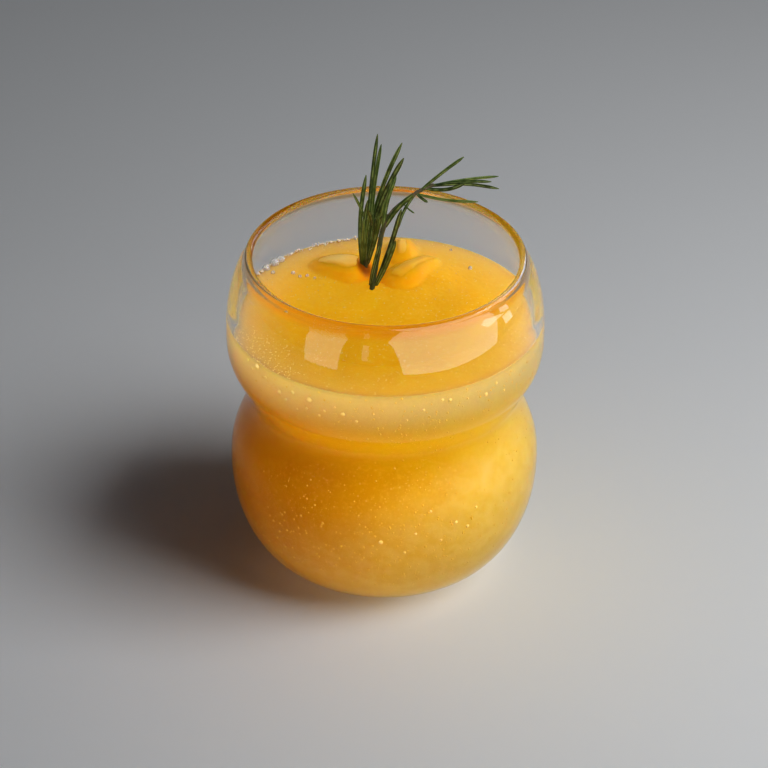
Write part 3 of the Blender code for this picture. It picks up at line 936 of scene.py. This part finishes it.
def crevice_shade(x, y):
    """How much painted shade the drink takes: in the hollow between the mango pieces, round the
    sprig.
    """
    shadiest = 0.0
    for (middle_x, middle_y), (across, along), share in SHADE_SPOTS:
        away = math.hypot((x / MM - middle_x) / across, (y / MM - middle_y) / along)
        shadiest = max(shadiest, share * hill(away))
    return shadiest


def mango_mesh(name, half_size, slim_end, slim_top, ridge):
    """A rounded block drawn out to a wedge: its outer end and top are slimmer, its ends droop."""
    points, faces, places = [], [], {}
    steps = spread(-1.0, 1.0, CAGE_STEPS)
    for axis in range(3):
        for side in (-1.0, 1.0):
            grid = [[corner_point(axis, side, u, v, points, places) for u in steps] for v in steps]
            for low, high in zip(grid, grid[1:]):
                for a, b, c, d in zip(low, low[1:], high[1:], high):
                    faces.append((a, b, c, d) if side > 0.0 else (d, c, b, a))
    shaped = []
    for point in points:
        away = sum(abs(value) ** MANGO_SQUARENESS for value in point)
        x, y, z = Vector(point) / away ** (1.0 / MANGO_SQUARENESS)
        end = 1.0 - slim_end * (x + 1.0) / 2.0
        top = 1.0 - slim_top * (z + 1.0) / 2.0
        height = z * end - MANGO_DROOP * x * x
        spot = Vector((x * half_size[0], y * half_size[1] * end * top, height * half_size[2]))
        relief = noise.noise(spot / MANGO_RELIEF_SIZE) * MANGO_RELIEF
        shaped.append(spot * (1.0 + relief / spot.length))
    mesh = smooth_mesh(name, shaped, faces)
    # Painted light: strongest on the top of the piece, along its ridge
    ridges = [ridge * max(0.0, z) ** 2 * (1.0 - x**2) * (1.0 - y**2) for x, y, z in points]
    set_attributes(mesh, {"ridge": ridges})
    return mesh


def corner_point(axis, side, u, v, points, places):
    """The number of a point on a cube's face, shared with the faces beside it."""
    spot = [u, v]
    spot.insert(axis, side)
    if axis == 1:
        spot[0], spot[2] = spot[2], spot[0]
    key = tuple(round(value, 6) for value in spot)
    if key not in places:
        places[key] = len(points)
        points.append(spot)
    return places[key]


def make_mango():
    """The soft pieces of mango that stand half sunk in the drink."""
    flesh = mango_material()
    pieces = []
    for name, (middle, half_size, turn, lean, slim_end, slim_top, ridge) in MANGO_PIECES.items():
        half_size = [half * MM for half in half_size]
        mesh = mango_mesh(name + "_flesh", half_size, slim_end, slim_top, ridge)
        place = Matrix.Translation(Vector(middle) * MM)
        place = place @ Matrix.Rotation(math.radians(turn), 4, "Z")
        place = place @ Matrix.Rotation(math.radians(lean), 4, "X")
        mesh.transform(place)
        pieces.append(add_piece(mesh, [flesh], "mango", name))
    return pieces


def smooth_route(points):
    """A smooth curve through the points, with STEM_STEPS steps between each two."""
    spots = [Vector(point) * MM for point in points]
    before = spots[0] * 2.0 - spots[1]
    after = spots[-1] * 2.0 - spots[-2]
    knots = [before] + spots + [after]
    route = []
    for a, b, c, d in zip(knots, knots[1:], knots[2:], knots[3:]):
        for i in range(STEM_STEPS):
            t = i / STEM_STEPS
            start = 2.0 * b + (c - a) * t
            bend = (2.0 * a - 5.0 * b + 4.0 * c - d) * t**2
            twist = (3.0 * b - a - 3.0 * c + d) * t**3
            route.append((start + bend + twist) / 2.0)
    route.append(knots[-2])
    return route


def place_on(route, share):
    """The point at a share of the way along the route."""
    spot = share * (len(route) - 1)
    i = min(int(spot), len(route) - 2)
    return route[i].lerp(route[i + 1], spot - i)


def add_tube(points, faces, rings):
    """A closed tube through rings of points, added to the lists of a mesh."""
    start = len(points)
    sides = len(rings[0])
    for ring in rings:
        points.extend(ring)
    for level in range(len(rings) - 1):
        for i in range(sides):
            after = (i + 1) % sides
            low = start + level * sides
            high = low + sides
            faces.append((low + i, low + after, high + after, high + i))
    faces.append(tuple(start + i for i in reversed(range(sides))))
    faces.append(tuple(len(points) - sides + i for i in range(sides)))


def make_stems():
    """The sprig's two woody stems, with small swellings where leaves sit."""
    points, faces = [], []
    for stem in (MAIN_STEM, SIDE_STEM):
        route = smooth_route(stem)
        rings = []
        for i, spot in enumerate(route):
            ahead = (route[min(i + 1, len(route) - 1)] - route[max(i - 1, 0)]).normalized()
            across = Vector((0.0, 1.0, 0.0)).cross(ahead).normalized()
            up = ahead.cross(across)
            share = i / (len(route) - 1)
            radius = STEM_RADIUS * (1.0 + (STEM_TIP_SHARE - 1.0) * share)
            radius *= 1.0 + STEM_LUMPS * noise.noise(spot / STEM_LUMP_SIZE)
            ring = []
            for side in range(STEM_SIDES):
                angle = 2.0 * math.pi * side / STEM_SIDES
                ridge = 1.0 + STEM_RIDGE * math.cos(4.0 * angle)
                ring.append(spot + (across * math.cos(angle) + up * math.sin(angle)) * radius * ridge)
            rings.append(ring)
        add_tube(points, faces, rings)
    mesh = smooth_mesh("rosemary_stems", points, faces)
    stems = add_piece(mesh, [stem_material()], "rosemary", "rosemary")
    stems.visible_shadow = False
    return stems


def needle_breadth(share):
    """Share of the full width at a share of the needle's length: nearly even, with a blunt tip."""
    stalk = min(1.0, NEEDLE_STALK + 1.2 * share)
    tip = max(0.0, (share - NEEDLE_TIP) / (1.0 - NEEDLE_TIP))
    return stalk * (1.0 - 0.8 * tip**2.5)


def needle_rings(root, tip, bow, width, turn):
    """Rings of one leaf: flattened, grooved along the top and rolled under at its edges."""
    span = tip - root
    ahead = span.normalized()
    sideways = Vector((0.0, 1.0, 0.0)).cross(ahead).normalized()
    broad = Matrix.Rotation(turn, 3, ahead) @ sideways
    flat = broad.cross(ahead)
    rings = []
    for part in spread(0.0, 1.0, NEEDLE_RINGS):
        share = math.sin(math.pi * part / 2.0)
        middle = root + span * share + sideways * bow * math.sin(math.pi * share)
        half = width * needle_breadth(share) / 2.0
        ring = []
        for corner in range(NEEDLE_SIDES):
            angle = 2.0 * math.pi * corner / NEEDLE_SIDES
            across = math.cos(angle)
            up = math.sin(angle) * NEEDLE_THINNESS
            up *= 1.0 - GROOVE_DEPTH * hill(across / GROOVE_WIDTH)
            ring.append(middle + (broad * across + flat * up) * half)
        rings.append(ring)
    return rings


def needle_shares():
    """How much each corner of a leaf's ring shows of the underside and of the stripes, which are
    partly painted highlight.
    """
    under, stripe = [], []
    for corner in range(NEEDLE_SIDES):
        angle = 2.0 * math.pi * corner / NEEDLE_SIDES
        under.append(max(0.0, -math.sin(angle)) ** 2)
        stripe.append(max(math.cos(angle) ** 12, max(0.0, math.sin(angle)) ** 16))
    return under, stripe


def make_needles():
    """All the sprig's leaves in one mesh, each with its own tint of green, the darker tints painted
    shade between them.
    """
    points, faces = [], []
    shares = {"tint": [], "under": [], "stripe": []}
    under, stripe = needle_shares()
    count = 0
    for stem, needles in ((MAIN_STEM, MAIN_NEEDLES), (SIDE_STEM, SIDE_NEEDLES)):
        route = smooth_route(stem)
        for number, (share, shift, tip, bow, width) in enumerate(needles):
            root = place_on(route, share) + Vector((shift * MM, 0.0, 0.0))
            turn = NEEDLE_TURN * math.sin(number * GOLDEN_TURN)
            width *= NEEDLE_SLIMNESS
            rings = needle_rings(root, Vector(tip) * MM, bow * MM, width * MM, turn)
            add_tube(points, faces, rings)
            shares["tint"] += [(count * GOLDEN_SHARE) % 1.0] * NEEDLE_SIDES * len(rings)
            shares["under"] += under * len(rings)
            shares["stripe"] += stripe * len(rings)
            count += 1
    mesh = smooth_mesh("rosemary_needles", points, faces)
    # A leaf's rings run the other way round from a stem's, so its faces are turned outwards
    mesh.flip_normals()
    mesh.set_sharp_from_angle(angle=SHARP_ANGLE)
    set_attributes(mesh, shares)
    leaves = add_piece(mesh, [needle_material()], "rosemary", "rosemary")
    leaves.visible_shadow = False
    return leaves


def add_balls(name, spots, steps, material):
    """A piece of many balls, from a list of (middle, radius)."""
    slopes = spread(0.0, math.pi, steps)
    unit, unit_faces = turned([(math.sin(slope), math.cos(slope)) for slope in slopes], 2 * steps)
    points, faces = [], []
    for middle, radius in spots:
        start = len(points)
        points.extend(middle + point * radius for point in unit)
        faces.extend(tuple(start + i for i in face) for face in unit_faces)
    return add_piece(smooth_mesh(name, points, faces), [material], "slush")


def on_wall(turn, z, depth):
    """The point at a turn in degrees and a height, so deep in the glass from its inner face."""
    angle = math.radians(turn)
    r = inner_radius(z) + depth
    return Vector((r * math.sin(angle), -r * math.cos(angle), z))


def mostly_small(rule, sizes):
    """A random radius between two in mm, more often near the smaller one."""
    return sizes[0] + (sizes[1] - sizes[0]) * rule.random() ** 3


def speck_chance(turn, z):
    """How likely an ice grain is to stay: in patches, more at the front right, few at the waist."""
    patch = Vector((turn / SPECK_PATCH_SIZE[0], z / SPECK_PATCH_SIZE[1], 0.0))
    chance = SPECK_CHANCE + SPECK_PATCHES * noise.noise(patch)
    chance += SPECK_SIDE * math.cos(math.radians(turn - SPECK_SIDE_TURN))
    return chance - SPARSENESS * hill((z - SPARSE_HEIGHT) / SPARSE_BREADTH)


def make_specks():
    """Pale ice grains and small round bubbles against the wall."""
    rule = random.Random(SPECK_SEED)
    spots = []
    while len(spots) < SPECKS:
        z = rule.uniform(*SPECK_HEIGHTS)
        turn = rule.uniform(-180.0, 180.0)
        if rule.random() > speck_chance(turn, z):
            continue
        radius = mostly_small(rule, SPECK_SIZES) * MM
        spots.append((on_wall(turn, z, REACH + radius * 0.2), radius))
    return add_balls("ice_grains", spots, GRAIN_STEPS, bead_material("ice_grain", ICE_COLOUR))


def make_top_grains():
    """Pale ice grains on the drink's top, and a film of them on the glass above it at the left."""
    rule = random.Random(TOP_SEED)
    spots = []
    for _ in range(TOP_SPECKS):
        r = (inner_radius(LEVEL) - TOP_INSET) * rule.random() ** TOP_CROWDING
        angle = rule.uniform(0.0, 2.0 * math.pi)
        x, y = r * math.cos(angle), r * math.sin(angle)
        radius = rule.uniform(*TOP_SIZES) * MM
        spots.append((Vector((x, y, LEVEL + surface_rise(x, y) - radius * 0.4)), radius))
    for _ in range(FILM_SPECKS):
        turn = rule.uniform(*FILM_TURNS)
        z = LEVEL + FILM_HEIGHT * rule.random() ** 1.5
        radius = rule.uniform(*FILM_SIZES) * MM
        spots.append((on_wall(turn, z, -radius * 0.5), radius))
    return add_balls("top_grains", spots, GRAIN_STEPS, bead_material("top_grain", TOP_ICE_COLOUR))


def make_wall_bubbles():
    """Larger pale grains and bubbles against the wall."""
    spots = [(on_wall(turn, z * MM, REACH), radius * MM) for turn, z, radius in WALL_BUBBLES]
    pale = bead_material("wall_bubble", BUBBLE_COLOUR)
    return add_balls("wall_bubbles", spots, BUBBLE_STEPS, pale)


def make_bubbles():
    """Larger air bubbles on the drink's top, each a thin skin about a hollow."""
    spots = []
    for x, y, radius in TOP_BUBBLES:
        rise = surface_rise(x * MM, y * MM)
        spots.append((Vector((x * MM, y * MM, LEVEL + rise + radius * MM * 0.2)), radius * MM))
    hollows = [(spot, -radius * BUBBLE_HOLLOW) for spot, radius in spots]
    return add_balls("air_bubbles", spots + hollows, BUBBLE_STEPS, bubble_material())


def make_foam():
    """Small pale beads of foam along the wall at the back left."""
    rule = random.Random(FOAM_SEED)
    spots = []
    while len(spots) < FOAM_BEADS:
        turn = rule.uniform(*FOAM_TURNS)
        cluster = noise.noise(Vector((turn / FOAM_CLUSTER, 0.0, 0.0)))
        if rule.random() > FOAM_CHANCE + FOAM_CLUSTERS * cluster:
            continue
        radius = mostly_small(rule, FOAM_SIZES) * MM
        z = LEVEL + rule.uniform(0.0, FOAM_HEIGHT) * rule.random()
        spots.append((on_wall(turn, z, -radius * rule.uniform(0.5, 4.0)), radius))
    return add_balls("foam_beads", spots, FOAM_STEPS, bead_material("foam_bead", FOAM_COLOUR))


def make_floor():
    """A plain pale floor."""
    corners = [(x * FLOOR_HALF, y * FLOOR_HALF, 0.0) for x, y in ((-1, -1), (1, -1), (1, 1), (-1, 1))]
    mesh = bpy.data.meshes.new("floor")
    mesh.from_pydata(corners, [], [(0, 1, 2, 3)])
    look = Shader("pale_floor")
    look.set(Base_Color=(*FLOOR_COLOUR, 1.0), Roughness=0.75, Specular_IOR_Level=0.2)
    mesh.materials.append(look.material)
    new_object("floor", mesh)


def toward(turn, elevation):
    """Direction from the object, at a turn and an elevation in degrees."""
    a, e = math.radians(turn), math.radians(elevation)
    return Vector((math.sin(a) * math.cos(e), -math.cos(a) * math.cos(e), math.sin(e)))


def add_light(name, turn, elevation, distance, size, power, colour):
    """A soft rectangular light turned to the glass."""
    data = bpy.data.lights.new(name, "AREA")
    data.shape = "RECTANGLE"
    data.size, data.size_y = size
    data.energy = power
    data.color = colour
    light = new_object(name, data)
    direction = toward(turn, elevation)
    light.location = Vector(LIGHT_AIM) + direction * distance
    light.rotation_euler = direction.to_track_quat("Z", "Y").to_euler()
    return light


def linked_pieces(name, pieces):
    """A collection of pieces, which a light can be linked to."""
    group = bpy.data.collections.new(name)
    for piece in pieces:
        group.objects.link(piece)
    return group


def make_lights(shiny, pieces):
    """Soft studio light: a key, fills that reach only the pieces, and windows that only gleam."""
    filled = linked_pieces("takes_fill", pieces)
    mirror = linked_pieces("mirrors_windows", shiny)
    for name, turn, elevation, distance, size, power, colour in LAMPS:
        lamp = add_light(name, turn, elevation, distance, (size, size), power, colour)
        lamp.visible_glossy = False
        if name.endswith("fill"):
            lamp.visible_transmission = False
            lamp.light_linking.receiver_collection = filled
            lamp.light_linking.blocker_collection = filled
    for name, turn, elevation, distance, size, power in WINDOWS:
        window = add_light(name, turn, elevation, distance, size, power, WINDOW_COLOUR)
        window.visible_diffuse = window.visible_transmission = window.visible_camera = False
        window.light_linking.receiver_collection = mirror


def make_room():
    """A dim room, brightest at the horizon and towards the right."""
    world = bpy.data.worlds.new("room")
    bpy.context.scene.world = world
    world.use_nodes = True
    nodes, links = world.node_tree.nodes, world.node_tree.links
    split = nodes.new("ShaderNodeSeparateXYZ")
    links.new(nodes.new("ShaderNodeTexCoord").outputs["Generated"], split.inputs["Vector"])
    ramp = nodes.new("ShaderNodeValToRGB")
    stops = [(z, [brightness * share for share in ROOM_COLOUR]) for z, brightness in ROOM]
    set_ramp(ramp, stops)
    links.new(split.outputs["Z"], ramp.inputs["Fac"])
    links.new(ramp.outputs["Color"], nodes["Background"].inputs["Color"])
    sides = nodes.new("ShaderNodeMapRange")
    set_inputs(sides, From_Min=-1.0, To_Min=ROOM_SIDES[0], To_Max=ROOM_SIDES[1])
    links.new(split.outputs["X"], sides.inputs["Value"])
    links.new(sides.outputs["Result"], nodes["Background"].inputs["Strength"])


def make_camera():
    """The camera at the photograph's place and angle."""
    data = bpy.data.cameras.new("camera")
    data.sensor_width = SENSOR
    data.lens = LENS
    data.clip_start = 0.05
    camera = new_object("camera", data)
    back = Vector((0.0, -math.cos(CAMERA_PITCH), math.sin(CAMERA_PITCH)))
    place = Matrix.Translation(Vector(CAMERA_AIM) + back * CAMERA_DISTANCE)
    turn = back.to_track_quat("Z", "Y").to_matrix().to_4x4()
    camera.matrix_world = place @ turn @ Matrix.Rotation(CAMERA_ROLL, 4, "Z")
    bpy.context.scene.camera = camera


def set_rendering():
    """The picture's contrast, and how often light may be turned."""
    view = bpy.context.scene.view_settings
    view.view_transform = "Standard"
    view.look = "Medium High Contrast"
    settings = bpy.context.scene.cycles
    settings.max_bounces = settings.glossy_bounces = settings.transmission_bounces = BOUNCES


def main():
    """Load the frame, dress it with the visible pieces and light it."""
    remove_everything()
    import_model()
    make_camera()
    make_floor()
    shiny = [make_glass(), make_bubbles()]
    mango = make_mango()
    soft = [make_drink(mango), make_stems(), make_needles(), make_specks(), make_foam()]
    soft += [make_top_grains(), make_wall_bubbles()]
    make_lights(shiny, shiny + mango + soft)
    make_room()
    set_rendering()


main()
